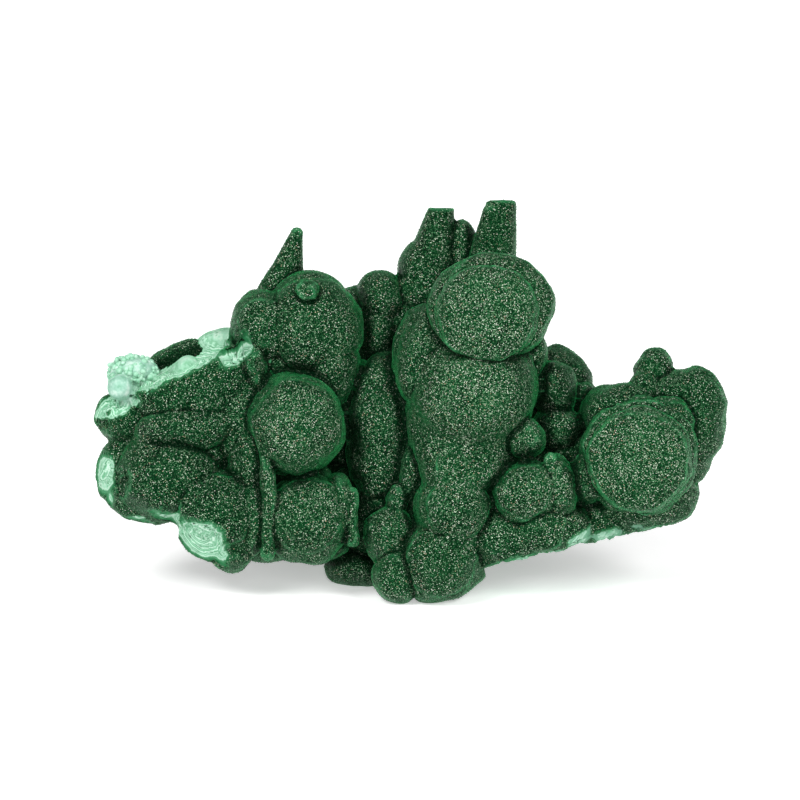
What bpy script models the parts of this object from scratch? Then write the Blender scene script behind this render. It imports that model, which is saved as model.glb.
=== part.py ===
"""A cabinet specimen of botryoidal malachite, as one solid.

The cluster is laid out square to its display face, in millimetres: X runs across it, Z up it, and Y away
from the viewer. LEAN_DEG then tips it back onto its base, which is cut flat. Round lumps and fingers are
joined by a Boolean union, and the broken faces are cut from that union.
"""

import math

import bmesh
import bpy
from mathutils import Matrix, Vector

MM = 0.001
NODE = "malachite"
LEAN_DEG = 15.0  # the display face leans back this far from upright
BASE_LEVEL = -2.7  # height of the flat base, before the specimen is set on the floor
FACET = 4.4  # length of a facet's side on a large lump
BACK_FACET = 5.6  # the same, on the back
HEART_FACET = 9.0  # the same, on the hidden heart
LEAST_SIDES, MOST_SIDES = 10, 20
GREEN = (0.022, 0.085, 0.032, 1.0)

# Each lump: centre x, y, z, then radii across, deep and up, then its lean to the right in degrees.
LUMPS = {
    # the central column, from the foot up to the layered head
    "foot": (6.9, 13, 11, 10.3, 12, 10.8, 0),
    "foot_heel": (-4, 12, 7.2, 6.2, 8, 7.4, 0),
    "column_belly": (10.6, 10, 24, 9.8, 10.5, 9.6, 0),
    "column_waist": (12.5, 10.5, 33.5, 10.5, 9.5, 7.4, 0),
    "column_chest": (15.6, 10, 53.5, 15.8, 14, 16.2, 4),
    "column_shoulder": (4, 13, 62.5, 9.2, 10, 13, 10),
    "column_side": (0, 15, 32.3, 3.4, 5, 6.8, 0),
    "column_lobe": (28.6, 8, 41.5, 4.8, 6, 5.2, 0),
    "column_fill": (13.5, 14, 46, 15, 12, 22, 0),
    "column_fill_low": (11, 15, 19, 10.5, 11, 16, 0),
    "head_shell": (19.6, 5, 74.3, 15.6, 9, 13.2, 0),
    "head": (18.8, -1.5, 72.8, 13.2, 5.5, 12.0, 0),
    # buds at the right of the column's foot
    "bud": (28.6, 9, 27.6, 9, 9, 8.2, 0),
    "bud_right": (36.4, 10, 29.3, 5, 8, 8.6, 0),
    "skirt_inner": (22, 15, 16.8, 11, 11, 9.4, 0),
    "skirt_outer": (33.5, 15, 19.3, 12.5, 11, 8, 0),
    "skirt_end": (47, 21, 21.5, 10, 10, 7, 0),
    # the low ridge between the column and the rosette
    "ridge_back": (36.6, 30, 54.8, 8.0, 9, 9.6, 0),
    "ridge_neck": (29, 17, 62.5, 5, 8, 6.6, 0),
    "ridge_mid": (35.7, 20, 53.5, 6, 8, 7, 0),
    "ridge_low": (36.4, 20, 43.6, 6.5, 8, 6.8, 0),
    "ridge_small": (42.3, 24, 51.5, 3.6, 5, 4, 0),
    "ridge_foot": (37.5, 22, 37, 5, 8, 6, 0),
    "ridge_fill": (38.5, 28, 46, 9, 9, 13, 0),
    # the rosette at the right end
    "rosette": (57, 3.2, 36.2, 13.2, 6, 13.2, 0),
    "rosette_shell": (57, 10, 37, 15, 7.5, 14.8, 0),
    "rosette_lobe": (64, 12, 45, 6.8, 6, 7.2, 0),
    "rosette_crown": (52.5, 17, 47, 10.5, 9, 8.5, 0),
    "rosette_left": (44.3, 12, 31.5, 4.9, 6, 6.8, 0),
    "rosette_wing": (71.3, 20, 47.4, 7.6, 9, 11.8, 0),
    "rosette_wing_low": (68, 20, 38, 7, 9, 9, 0),
    "rosette_saddle": (65.5, 21, 50, 7, 9, 9, 0),
    "rosette_knob": (60.5, 22, 58.9, 5.1, 5.5, 5.2, 0),
    "rosette_neck": (58.5, 20, 53, 5, 7, 5, 0),
    "rosette_skirt": (58, 18, 26, 13, 10, 8, 0),
    "rosette_skirt_end": (65, 20, 28, 7, 9, 8, 0),
    # the tall pillar left of the column
    "pillar_top": (-5.6, 24, 55, 8.6, 10, 8.8, 0),
    "pillar_mid": (-7.6, 22, 43.5, 9, 11, 20.3, 3),
    "pillar_bud": (-5.5, 13.5, 16.8, 6.7, 7, 8.2, 0),
    "pillar_bud_neck": (-3.5, 15, 25, 3.5, 5, 5, 0),
    "pillar_heel": (-13, 30, 9.3, 8.4, 9, 5.4, 0),
    # behind the head
    "crown_left": (-7.8, 30, 75, 6.8, 9, 8.3, 0),
    "crown_left_low": (-8.5, 29, 66, 6.6, 9, 9, 0),
    "crown_mid": (12.4, 33, 86.2, 4.8, 6, 10, 0),
    "crown_knuckle": (2.8, 33, 83.5, 6.6, 8, 8.5, 15),
    # the upper left mass
    "shoulder": (-24.7, 17, 69, 12.8, 11, 12.6, 0),
    "shoulder_knob": (-26.3, 10, 78.2, 2.9, 3.6, 2.9, 0),
    "shoulder_shell": (-25.2, 21, 71.5, 11.2, 10, 12, 0),
    "shoulder_left": (-36.5, 20, 68.6, 9.3, 11, 10.4, 0),
    "shoulder_low": (-21, 19, 59.5, 8, 10, 10.5, 0),
    "shoulder_under": (-33, 21, 60, 9, 9, 9, 0),
    # the left mass below it
    "belly": (-29.3, 13, 45, 13, 15, 13.2, 0),
    "belly_low": (-26.5, 13, 21.2, 11.3, 11, 11.4, 0),
    "belly_right": (-18.5, 13, 24, 4.6, 7, 9, 0),
    "flank": (-41, 13, 22, 5.5, 9, 11, 0),
    "flank_top": (-40.5, 14, 36, 6, 9, 11, 0),
    "hem_left": (-36.5, 20, 13.5, 5.5, 7, 3.3, 0),
    "hem_mid": (-28, 20, 13.3, 6, 7, 3.2, 0),
    "hem_right": (-21, 20, 14, 5, 7, 3, 0),
    # the broken wing at the left end
    "wing_low_right": (-49.3, 13, 22.3, 11.4, 12, 11.6, 0),
    "wing_low_left": (-61, 15, 31.5, 14, 12, 11.3, 0),
    "wing_under": (-64.5, 18, 27.0, 12, 8, 7.2, 0),
    "wing_end": (-68, 21, 33, 12, 9, 9.5, 0),
    "wing_mid": (-56, 13, 44, 13.5, 9, 6.6, -6),
    "wing_top": (-53.5, 18, 53.5, 19, 12, 12, -18),
    "wing_end_top": (-65.5, 21, 46.5, 14, 10, 8.5, 0),
    "wing_ridge": (-40, 15, 59.5, 4.5, 8, 8, -10),
    "wing_join": (-43.5, 17, 46, 8, 10, 14, 0),
    "wing_fill": (-54, 21, 43, 19, 12, 14, 0),
    "wing_foot": (-45, 15, 14.5, 6, 9, 6.2, 0),
}

# Where nothing shows from the display face: the solid heart of the specimen, then the lumps on its back.
HEART = {
    NODE: (-2, 40, 48, 38, 21, 24, 0),
    "heart_low": (0, 39, 24, 30, 24, 18, 0),
    "heart_left": (-44, 27, 40, 21, 13, 15, 0),
    "heart_right": (44, 27, 35, 26, 13, 12, 0),
    "heart_top": (-8, 35, 66, 24, 13, 14, 0),
    "column_root": (12, 22, 52, 11, 13, 20, 0),
    "column_root_low": (11, 24, 22, 10, 13, 18, 0),
    "head_root": (16, 22, 76, 9, 15, 9, 0),
    "rosette_root": (56, 20, 38, 13, 9, 10, 0),
    "belly_root": (-28, 25, 26, 10, 12, 12, 0),
}
BACK = {
    "back_base_left": (-27, 57, 22, 15, 12, 13, 0),
    "back_base_mid": (-2, 61, 23, 16, 12, 14, 0),
    "back_base_right": (20, 58, 25, 13, 11, 13, 0),
    "back_end_right": (36, 46, 31, 13, 12, 11, 0),
    "back_left": (-39, 44, 41, 16, 14, 15, 0),
    "back_left_bud": (-46, 50, 31, 8, 8, 8, 0),
    "back_mid": (-10, 59, 46, 16, 12, 14, 0),
    "back_mid_right": (14, 55, 46, 14, 12, 13, 0),
    "back_mid_bud": (3, 68, 36, 7, 7, 7, 0),
    "back_right": (33, 42, 46, 11, 12, 10, 0),
    "back_top_left": (-27, 40, 65, 12, 13, 12, 0),
    "back_top": (-5, 48, 66, 12, 12, 12, 0),
    "back_top_right": (11, 42, 74, 10, 11, 11, 0),
    "back_top_bud": (-16, 52, 60, 6, 7, 6, 0),
    "back_wing": (-58, 33, 42, 13, 10, 11, 0),
    "back_wing_bud": (-51, 38, 53, 8, 8, 7, 0),
    "back_rosette": (60, 30, 36, 12, 10, 10, 0),
    "back_rosette_bud": (50, 36, 42, 8, 8, 8, 0),
}

# Each finger: x, y, z and radius at its root, then at its tip.
FINGERS = {
    "stalactite": ((3.6, 32, 78, 8.2), (7.3, 31, 98.5, 3.3)),
    "stalactite_right": ((19.3, 29, 80, 6.8), (22.2, 27, 99, 4)),
    "stalactite_rib": ((17.6, 27, 85, 4), (20.2, 25, 97.8, 2.7)),
    "spike": ((-33.2, 28, 76, 6.2), (-28.8, 27, 92.6, 1.6)),
    "belly_finger": ((-36, 6, 13, 2.2), (-36, 5, 43.5, 1.9)),
    "belly_finger_right": ((-15, 9.5, 15, 1.7), (-14.8, 9, 27.5, 1.6)),
    "bud_finger": ((33.5, 6, 25, 2.2), (34.5, 5, 36, 1.8)),
}

# Lumps left standing on the broken faces.
REMNANTS = {
    "remnant_ball": (-73, 13, 54.2, 3.2, 3.5, 3.3, 0),
    "remnant_bloom": (-69.8, 20, 57.9, 6.2, 6, 4.0, 0),
    "remnant_stub": (-57, 14, 59.0, 3.6, 3.6, 2.8, -25),
    "remnant_back": (-57.2, 26, 61.6, 9.2, 6, 4.0, -12),
    "remnant_peak": (-47.5, 25, 65.2, 6, 6, 4.2, -10),
    "remnant_green": (-36.5, 18, 61, 4.6, 6, 5, 0),
}

# Each broken face: a point on it, the direction it faces, and how far the cut reaches across and deep.
BREAKS = {
    "break_wing_top": ((-58, 7.5, 56.9), (-0.42, -0.20, 0.88), 30, 50),
    "break_wing_end": ((-72.6, 10.4, 36), (-0.88, -0.47, -0.05), 40, 44),
    "break_wing_under": ((-68, 6.5, 24.2), (-0.05, -0.32, -0.95), 20, 34),
    "break_wing_low": ((-45.2, 4, 16.3), (-0.55, -0.66, -0.50), 17, 34),
    "break_right_underside": ((56, 14, 18.0), (0.21, 0.04, -0.97), 78, 42),
    "break_right_edge": ((49, 12.6, 16.6), (0.1, -0.85, -0.52), 20, 8),
    "break_stalactite": ((7, 31, 99), (0.03, 0, 1), 12, 12),
    "break_stalactite_right": ((22, 26, 100.8), (0.0, 0.1, 1), 14, 16),
}
SCOOP_CENTRE = (-70, 0, 2.5)  # the hollow broken out under the left wing
SCOOP_RADII = (29.5, 20, 21.5)
CUT_DEPTH = 24
HAIRLINE = 0.000001
KEPT_FACETS = 0.62  # share of the facets that stay after thinning
CREASE_DEG = 38.0
CRUMB_FACES = 60


def clear_scene():
    for item in list(bpy.data.objects):
        bpy.data.objects.remove(item, do_unlink=True)


def new_collection(name):
    collection = bpy.data.collections.new(name)
    bpy.context.scene.collection.children.link(collection)
    return collection


def lean_matrix():
    return Matrix.Rotation(math.radians(-LEAN_DEG), 4, "X")


def add_object(name, shape, collection, helper=True):
    mesh = bpy.data.meshes.new(name)
    shape.to_mesh(mesh)
    shape.free()
    item = bpy.data.objects.new(name, mesh)
    collection.objects.link(item)
    if helper:
        item.hide_render = True
        item.display_type = "WIRE"
    return item


def sides_for(radius, facet):
    sides = round(2 * math.pi * radius / facet)
    return max(LEAST_SIDES, min(MOST_SIDES, sides))


def lump_shape(centre, radii, lean, facet=FACET):
    """An ellipsoid with its poles toward and away from the viewer."""
    sides = sides_for((radii[0] + radii[2]) / 2, facet)
    shape = bmesh.new()
    bmesh.ops.create_uvsphere(shape, u_segments=sides, v_segments=max(5, sides // 2 + 1), radius=1)
    stand = Matrix.Rotation(math.radians(90), 4, "X")
    stretch = Matrix.Diagonal((radii[0], radii[1], radii[2], 1))
    tilt = Matrix.Rotation(math.radians(lean), 4, "Y")
    place = Matrix.Scale(MM, 4) @ lean_matrix() @ Matrix.Translation(centre)
    shape.transform(place @ tilt @ stretch @ stand)
    return shape


def finger_shape(root, tip):
    """A tapered finger with round ends."""
    sides = sides_for(root[3], FACET)
    start, end = Vector(root[:3]), Vector(tip[:3])
    length = (end - start).length
    shape = bmesh.new()
    bmesh.ops.create_uvsphere(shape, u_segments=sides, v_segments=6, radius=1)
    for vert in shape.verts:
        if vert.co.z > 0.01:
            vert.co = vert.co * tip[3] + Vector((0, 0, length))
        else:
            vert.co = vert.co * root[3]
    turn = (end - start).to_track_quat("Z", "Y").to_matrix().to_4x4()
    place = Matrix.Scale(MM, 4) @ lean_matrix() @ Matrix.Translation(start)
    shape.transform(place @ turn)
    return shape


def break_shape(point, facing, across, deep):
    """A box whose underside is the broken face and which takes away all that stands in front of it."""
    shape = bmesh.new()
    bmesh.ops.create_cube(shape, size=1)
    normal = Vector(facing).normalized()
    side = normal.cross(Vector((0, 1, 0))).normalized()
    along = normal.cross(side)
    turn = Matrix((side, along, normal)).transposed().to_4x4()
    grow = Matrix.Diagonal((across, deep, CUT_DEPTH, 1))
    centre = Vector(point) + normal * (CUT_DEPTH / 2)
    place = Matrix.Scale(MM, 4) @ lean_matrix() @ Matrix.Translation(centre)
    shape.transform(place @ turn @ grow)
    if turn.determinant() < 0:
        bmesh.ops.reverse_faces(shape, faces=shape.faces)
    return shape


def base_shape():
    """The block that cuts the base flat."""
    shape = bmesh.new()
    bmesh.ops.create_cube(shape, size=1)
    grow = Matrix.Diagonal((240, 200, 60, 1))
    centre = Vector((0, 40, BASE_LEVEL - 30))
    shape.transform(Matrix.Scale(MM, 4) @ Matrix.Translation(centre) @ grow)
    return shape


def add_cut(item, name, operation, collection):
    cut = item.modifiers.new(name, "BOOLEAN")
    cut.solver = "EXACT"
    cut.operation = operation
    cut.operand_type = "COLLECTION"
    cut.collection = collection


def slim(item):
    """Close hairline gaps, then thin out the facets where the surface bends least."""
    heal = item.modifiers.new("heal", "WELD")
    heal.merge_threshold = HAIRLINE
    thin = item.modifiers.new("slim", "DECIMATE")
    thin.decimate_type = "COLLAPSE"
    thin.ratio = KEPT_FACETS
    thin.use_collapse_triangulate = True


def settle(item):
    """Keep the evaluated shape as the object's own mesh."""
    depsgraph = bpy.context.evaluated_depsgraph_get()
    mesh = bpy.data.meshes.new_from_object(item.evaluated_get(depsgraph))
    item.modifiers.clear()
    item.data = mesh
    mesh.name = item.name


def island_of(face):
    """All the faces joined to this one."""
    island = {face}
    todo = [face]
    while todo:
        here = todo.pop()
        for edge in here.edges:
            for other in edge.link_faces:
                if other not in island:
                    island.add(other)
                    todo.append(other)
    return island


def drop_crumbs(mesh):
    """Remove the tiny closed pockets that are left where several lumps meet."""
    shape = bmesh.new()
    shape.from_mesh(mesh)
    left = set(shape.faces)
    crumbs = set()
    while left:
        island = island_of(next(iter(left)))
        left -= island
        if len(island) < CRUMB_FACES:
            crumbs |= island
    bmesh.ops.delete(shape, geom=list(crumbs), context="FACES")
    shape.to_mesh(mesh)
    shape.free()


def stand_on_origin(mesh):
    """Move the mesh so that the middle of its box's underside is the origin."""
    low = [min(vert.co[axis] for vert in mesh.vertices) for axis in range(3)]
    high = [max(vert.co[axis] for vert in mesh.vertices) for axis in range(3)]
    foot_centre = Vector(((low[0] + high[0]) / 2, (low[1] + high[1]) / 2, low[2]))
    mesh.transform(Matrix.Translation(-foot_centre))


def green_stone():
    material = bpy.data.materials.new("malachite")
    material.use_nodes = True
    surface = material.node_tree.nodes["Principled BSDF"]
    surface.inputs["Base Color"].default_value = GREEN
    surface.inputs["Roughness"].default_value = 0.6
    return material


def build():
    clear_scene()
    shown = new_collection("malachite_specimen")
    grown = new_collection("malachite_grown")
    broken = new_collection("malachite_broken")
    left_over = new_collection("malachite_left_over")

    for group, facet in ((LUMPS, FACET), (BACK, BACK_FACET), (HEART, HEART_FACET)):
        for name, lump in group.items():
            if name != NODE:
                add_object(name, lump_shape(lump[:3], lump[3:6], lump[6], facet), grown)
    for name, (root, tip) in FINGERS.items():
        add_object(name, finger_shape(root, tip), grown)

    base = add_object("break_base", base_shape(), new_collection("malachite_base"))
    add_object("break_scoop", lump_shape(SCOOP_CENTRE, SCOOP_RADII, 0), broken)
    for name, face in BREAKS.items():
        add_object(name, break_shape(*face), broken)
    for name, lump in REMNANTS.items():
        add_object(name, lump_shape(lump[:3], lump[3:6], lump[6]), left_over)

    lump = HEART[NODE]
    specimen = add_object(NODE, lump_shape(lump[:3], lump[3:6], lump[6], HEART_FACET), shown, helper=False)
    specimen.data.materials.append(green_stone())
    add_cut(specimen, "grown", "UNION", grown)
    add_cut(specimen, "broken", "DIFFERENCE", broken)
    add_cut(specimen, "left_over", "UNION", left_over)
    slim(specimen)
    settle(specimen)
    drop_crumbs(specimen.data)

    flatten = specimen.modifiers.new("base", "BOOLEAN")
    flatten.solver = "EXACT"
    flatten.operation = "DIFFERENCE"
    flatten.object = base
    settle(specimen)
    drop_crumbs(specimen.data)
    stand_on_origin(specimen.data)
    specimen.data.shade_smooth()
    specimen.data.set_sharp_from_angle(angle=math.radians(CREASE_DEG))


build()
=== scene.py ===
"""Looks for the malachite specimen: its drusy green lumps, and the pale banded stone on its broken edges.

The layout is the CAD part's own: millimetres, X across the display face, Z up it and Y away from the viewer,
leaned back by LEAN and moved by SHIFT to stand on the frame's origin. The visible stone starts from the CAD
part's mesh and is settled on the same lumps, which are written here as distances. Its colours follow
attributes that are worked out from its shape.
"""

import math

import bmesh
import bpy
import numpy as np
from mathutils import Matrix, Vector


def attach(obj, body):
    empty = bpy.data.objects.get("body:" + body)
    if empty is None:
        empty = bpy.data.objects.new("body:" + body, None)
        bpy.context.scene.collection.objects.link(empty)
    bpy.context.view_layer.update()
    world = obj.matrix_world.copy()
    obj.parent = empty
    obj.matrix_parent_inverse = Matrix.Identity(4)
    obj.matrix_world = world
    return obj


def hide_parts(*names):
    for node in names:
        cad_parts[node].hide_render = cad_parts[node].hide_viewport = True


MM = 0.001
LEAN = math.radians(15.0)
SHIFT = np.array([0.322, -42.705, 2.7])
AWAY = np.array([0.0, math.cos(LEAN), -math.sin(LEAN)])  # the layout's Y axis, in the frame

SETTLINGS = ((1.1, 4), (0.52, 3))  # a size of facet, and how many times its corners are moved onto the stone
STONE_PARTS = 3
LAYERS = ("depth", "crease", "painted_rim_light", "pale", "facing", "shade", "dim_shade")

FAR = 60.0  # a distance past every lump's reach
NEARBY = 7  # how far around a lump its distance is worked out
BLEND = 0.9  # how softly two lumps meet
FAMILY_BLEND = 1.6  # the same for two lumps of one family
GROOVE, GROOVE_WIDTH = 0.30, 0.4  # the line where two lumps meet
FAMILIES = (  # lumps that run into each other
    ("foot", "column_belly", "column_waist", "column_chest", "column_fill", "column_fill_low"),
    ("rosette_knob", "rosette_neck"),
    ("rosette_wing", "rosette_wing_low", "rosette_saddle"),
)

# How lumps stray from perfect eggs: the waves' length, their height, and their seeds along X, Y and Z.
BENDS = ((15.0, 0.4, (1, 2, 3)), (5.0, 0.13, (4, 5, 6)))
CALM_ABOVE, CALM_OVER, CALM_LEAST = 88, 8, 0.15  # the tips of the stalactites stay nearly straight

# The roughness of the broken faces: length, height and seed.
BREAK_WAVES = ((8.0, 0.35, 31), (2.6, 0.2, 32), (1.3, 0.1, 33))
SHELL, SHELL_STEP = 1.7, 0.55  # they also step down from shell to shell of the growth
SHELL_WAVER, SHELL_WAVER_LENGTH, SHELL_WAVER_SEED = 0.3, 6.0, 34
SHELLS_TO = 12  # down to this depth
BREAK_LEVEL, SCOOP_LEVEL = 0.25, 0.2  # taken off, so that a rough face lies where a flat one would
STALACTITE_ROUGHNESS = 0.2  # the stalactites broke cleanly

# Each lump: centre x, y, z, then radii across, deep and up, then its lean to the right in degrees.
HEART = {
    "heart_mid": (-2, 40, 48, 38, 21, 24, 0),
    "heart_low": (0, 39, 24, 30, 24, 18, 0),
    "heart_left": (-44, 27, 40, 21, 13, 15, 0),
    "heart_right": (44, 27, 35, 26, 13, 12, 0),
    "heart_top": (-8, 35, 66, 24, 13, 14, 0),
    "column_root": (12, 22, 52, 11, 13, 20, 0),
    "column_root_low": (11, 24, 22, 10, 13, 18, 0),
    "head_root": (16, 22, 76, 9, 15, 9, 0),
    "rosette_root": (56, 20, 38, 13, 9, 10, 0),
    "belly_root": (-28, 25, 26, 10, 12, 12, 0),
}
BACK = {
    "back_base_left": (-27, 57, 22, 15, 12, 13, 0),
    "back_base_mid": (-2, 61, 23, 16, 12, 14, 0),
    "back_base_right": (20, 58, 25, 13, 11, 13, 0),
    "back_end_right": (36, 46, 31, 13, 12, 11, 0),
    "back_left": (-39, 44, 41, 16, 14, 15, 0),
    "back_left_bud": (-46, 50, 31, 8, 8, 8, 0),
    "back_mid": (-10, 59, 46, 16, 12, 14, 0),
    "back_mid_right": (14, 55, 46, 14, 12, 13, 0),
    "back_mid_bud": (3, 68, 36, 7, 7, 7, 0),
    "back_right": (33, 42, 46, 11, 12, 10, 0),
    "back_top_left": (-27, 40, 65, 12, 13, 12, 0),
    "back_top": (-5, 48, 66, 12, 12, 12, 0),
    "back_top_right": (11, 42, 74, 10, 11, 11, 0),
    "back_top_bud": (-16, 52, 60, 6, 7, 6, 0),
    "back_wing": (-58, 33, 42, 13, 10, 11, 0),
    "back_wing_bud": (-51, 38, 53, 8, 8, 7, 0),
    "back_rosette": (60, 30, 36, 12, 10, 10, 0),
    "back_rosette_bud": (50, 36, 42, 8, 8, 8, 0),
}
# The lumps that show, from the foot of the column outwards.
LUMPS = {
    # the central column, from the foot up to the layered head
    "foot": (6.9, 13, 11, 10.3, 12, 10.8, 0),
    "foot_heel": (-4, 12, 7.2, 6.2, 8, 7.4, 0),
    "column_belly": (10.6, 10, 24, 9.8, 10.5, 9.6, 0),
    "column_waist": (12.5, 10.5, 33.5, 10.5, 9.5, 7.4, 0),
    "column_chest": (15.6, 10, 53.5, 15.8, 14, 16.2, 4),
    "column_shoulder": (4, 13, 62.5, 9.2, 10, 13, 10),
    "column_side": (0, 15, 32.3, 3.4, 5, 6.8, 0),
    "column_lobe": (28.6, 8, 41.5, 4.8, 6, 5.2, 0),
    "column_fill": (13.5, 14, 46, 15, 12, 22, 0),
    "column_fill_low": (11, 15, 19, 10.5, 11, 16, 0),
    "head_shell": (19.6, 5, 74.3, 15.6, 9, 13.2, 0),
    "head": (18.8, -1.5, 72.8, 13.2, 5.5, 12.0, 0),
    # buds at the right of the column's foot
    "bud": (28.6, 9, 27.6, 9, 9, 8.2, 0),
    "bud_right": (36.4, 10, 29.3, 5, 8, 8.6, 0),
    "skirt_inner": (22, 15, 16.8, 11, 11, 9.4, 0),
    "skirt_outer": (33.5, 15, 19.3, 12.5, 11, 8, 0),
    "skirt_end": (47, 21, 21.5, 10, 10, 7, 0),
    # the low ridge between the column and the rosette
    "ridge_back": (36.6, 30, 54.8, 8.0, 9, 9.6, 0),
    "ridge_neck": (29, 17, 62.5, 5, 8, 6.6, 0),
    "ridge_mid": (35.7, 20, 53.5, 6, 8, 7, 0),
    "ridge_low": (36.4, 20, 43.6, 6.5, 8, 6.8, 0),
    "ridge_small": (42.3, 24, 51.5, 3.6, 5, 4, 0),
    "ridge_foot": (37.5, 22, 37, 5, 8, 6, 0),
    "ridge_fill": (38.5, 28, 46, 9, 9, 13, 0),
    # the rosette at the right end
    "rosette": (57, 3.2, 36.2, 13.2, 6, 13.2, 0),
    "rosette_shell": (57, 10, 37, 15, 7.5, 14.8, 0),
    "rosette_lobe": (64, 12, 45, 6.8, 6, 7.2, 0),
    "rosette_crown": (52.5, 17, 47, 10.5, 9, 8.5, 0),
    "rosette_left": (44.3, 12, 31.5, 4.9, 6, 6.8, 0),
    "rosette_wing": (71.3, 20, 47.4, 7.6, 9, 11.8, 0),
    "rosette_wing_low": (68, 20, 38, 7, 9, 9, 0),
    "rosette_saddle": (65.5, 21, 50, 7, 9, 9, 0),
    "rosette_knob": (60.5, 22, 58.9, 5.1, 5.5, 5.2, 0),
    "rosette_neck": (58.5, 20, 53, 5, 7, 5, 0),
    "rosette_skirt": (58, 18, 26, 13, 10, 8, 0),
    "rosette_skirt_end": (65, 20, 28, 7, 9, 8, 0),
    # the tall pillar left of the column
    "pillar_top": (-5.6, 24, 55, 8.6, 10, 8.8, 0),
    "pillar_mid": (-7.6, 22, 43.5, 9, 11, 20.3, 3),
    "pillar_bud": (-5.5, 13.5, 16.8, 6.7, 7, 8.2, 0),
    "pillar_bud_neck": (-3.5, 15, 25, 3.5, 5, 5, 0),
    "pillar_heel": (-13, 30, 9.3, 8.4, 9, 5.4, 0),
    # behind the head
    "crown_left": (-7.8, 30, 75, 6.8, 9, 8.3, 0),
    "crown_left_low": (-8.5, 29, 66, 6.6, 9, 9, 0),
    "crown_mid": (12.4, 33, 86.2, 4.8, 6, 10, 0),
    "crown_knuckle": (2.8, 33, 83.5, 6.6, 8, 8.5, 15),
    # the upper left mass
    "shoulder": (-24.7, 17, 69, 12.8, 11, 12.6, 0),
    "shoulder_knob": (-26.3, 10, 78.2, 2.9, 3.6, 2.9, 0),
    "shoulder_shell": (-25.2, 21, 71.5, 11.2, 10, 12, 0),
    "shoulder_left": (-36.5, 20, 68.6, 9.3, 11, 10.4, 0),
    "shoulder_low": (-21, 19, 59.5, 8, 10, 10.5, 0),
    "shoulder_under": (-33, 21, 60, 9, 9, 9, 0),
    # the left mass below it
    "belly": (-29.3, 13, 45, 13, 15, 13.2, 0),
    "belly_low": (-26.5, 13, 21.2, 11.3, 11, 11.4, 0),
    "belly_right": (-18.5, 13, 24, 4.6, 7, 9, 0),
    "flank": (-41, 13, 22, 5.5, 9, 11, 0),
    "flank_top": (-40.5, 14, 36, 6, 9, 11, 0),
    "hem_left": (-36.5, 20, 13.5, 5.5, 7, 3.3, 0),
    "hem_mid": (-28, 20, 13.3, 6, 7, 3.2, 0),
    "hem_right": (-21, 20, 14, 5, 7, 3, 0),
    # the broken wing at the left end
    "wing_low_right": (-49.3, 13, 22.3, 11.4, 12, 11.6, 0),
    "wing_low_left": (-61, 15, 31.5, 14, 12, 11.3, 0),
    "wing_under": (-64.5, 18, 27.0, 12, 8, 7.2, 0),
    "wing_end": (-68, 21, 33, 12, 9, 9.5, 0),
    "wing_mid": (-56, 13, 44, 13.5, 9, 6.6, -6),
    "wing_top": (-53.5, 18, 53.5, 19, 12, 12, -18),
    "wing_end_top": (-65.5, 21, 46.5, 14, 10, 8.5, 0),
    "wing_ridge": (-40, 15, 59.5, 4.5, 8, 8, -10),
    "wing_join": (-43.5, 17, 46, 8, 10, 14, 0),
    "wing_fill": (-54, 21, 43, 19, 12, 14, 0),
    "wing_foot": (-45, 15, 14.5, 6, 9, 6.2, 0),
}
# Fingers: x, y, z and radius at the root, then at the tip.
FINGERS = {
    "stalactite": ((3.6, 32, 78, 8.2), (7.3, 31, 98.5, 3.3)),
    "stalactite_right": ((19.3, 29, 80, 6.8), (22.2, 27, 99, 4)),
    "stalactite_rib": ((17.6, 27, 85, 4), (20.2, 25, 97.8, 2.7)),
    "spike": ((-33.2, 28, 76, 6.2), (-28.8, 27, 92.6, 1.6)),
    "belly_finger": ((-36, 6, 13, 2.2), (-36, 5, 43.5, 1.9)),
    "belly_finger_right": ((-15, 9.5, 15, 1.7), (-14.8, 9, 27.5, 1.6)),
    "bud_finger": ((33.5, 6, 25, 2.2), (34.5, 5, 36, 1.8)),
}
# Lumps left standing on the broken faces.
REMNANTS = {
    "remnant_ball": (-73, 13, 54.2, 3.2, 3.5, 3.3, 0),
    "remnant_bloom": (-69.8, 20, 57.9, 6.2, 6, 4.0, 0),
    "remnant_stub": (-57, 14, 59.0, 3.6, 3.6, 2.8, -25),
    "remnant_back": (-57.2, 26, 61.6, 9.2, 6, 4.0, -12),
    "remnant_peak": (-47.5, 25, 65.2, 6, 6, 4.2, -10),
    "remnant_green": (-36.5, 18, 61, 4.6, 6, 5, 0),
}
# Broken faces: a point, the direction it faces, and its reach across and deep.
BREAKS = {
    "break_wing_top": ((-58, 7.5, 56.9), (-0.42, -0.20, 0.88), 30, 50),
    "break_wing_end": ((-72.6, 10.4, 36), (-0.88, -0.47, -0.05), 40, 44),
    "break_wing_under": ((-68, 6.5, 24.2), (-0.05, -0.32, -0.95), 20, 34),
    "break_wing_low": ((-45.2, 4, 16.3), (-0.55, -0.66, -0.50), 17, 34),
    "break_right_underside": ((56, 14, 18.0), (0.21, 0.04, -0.97), 78, 42),
    "break_right_edge": ((49, 12.6, 16.6), (0.1, -0.85, -0.52), 20, 8),
    "break_stalactite": ((7, 31, 99), (0.03, 0, 1), 12, 12),
    "break_stalactite_right": ((22, 26, 100.8), (0.0, 0.1, 1), 14, 16),
}
SCOOP_CENTRE = (-70, 0, 2.5)  # the hollow broken out under the left wing
SCOOP_RADII = (29.5, 20, 21.5)
CUT_DEPTH = 24

# Shallow chips beside the breaks.
CHIPS = {
    "chip_right_underside": ((47.5, 16, 16.3), (0.17, -0.6, -0.78), 22, 7),
    "chip_wing_ridge": ((-43.2, 11.8, 61.8), (-0.30, -0.80, 0.52), 9, 6),
    "chip_wing_corner": ((-73.9, 14.8, 48.4), (-0.50, -0.62, 0.60), 12, 10),
}

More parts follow.
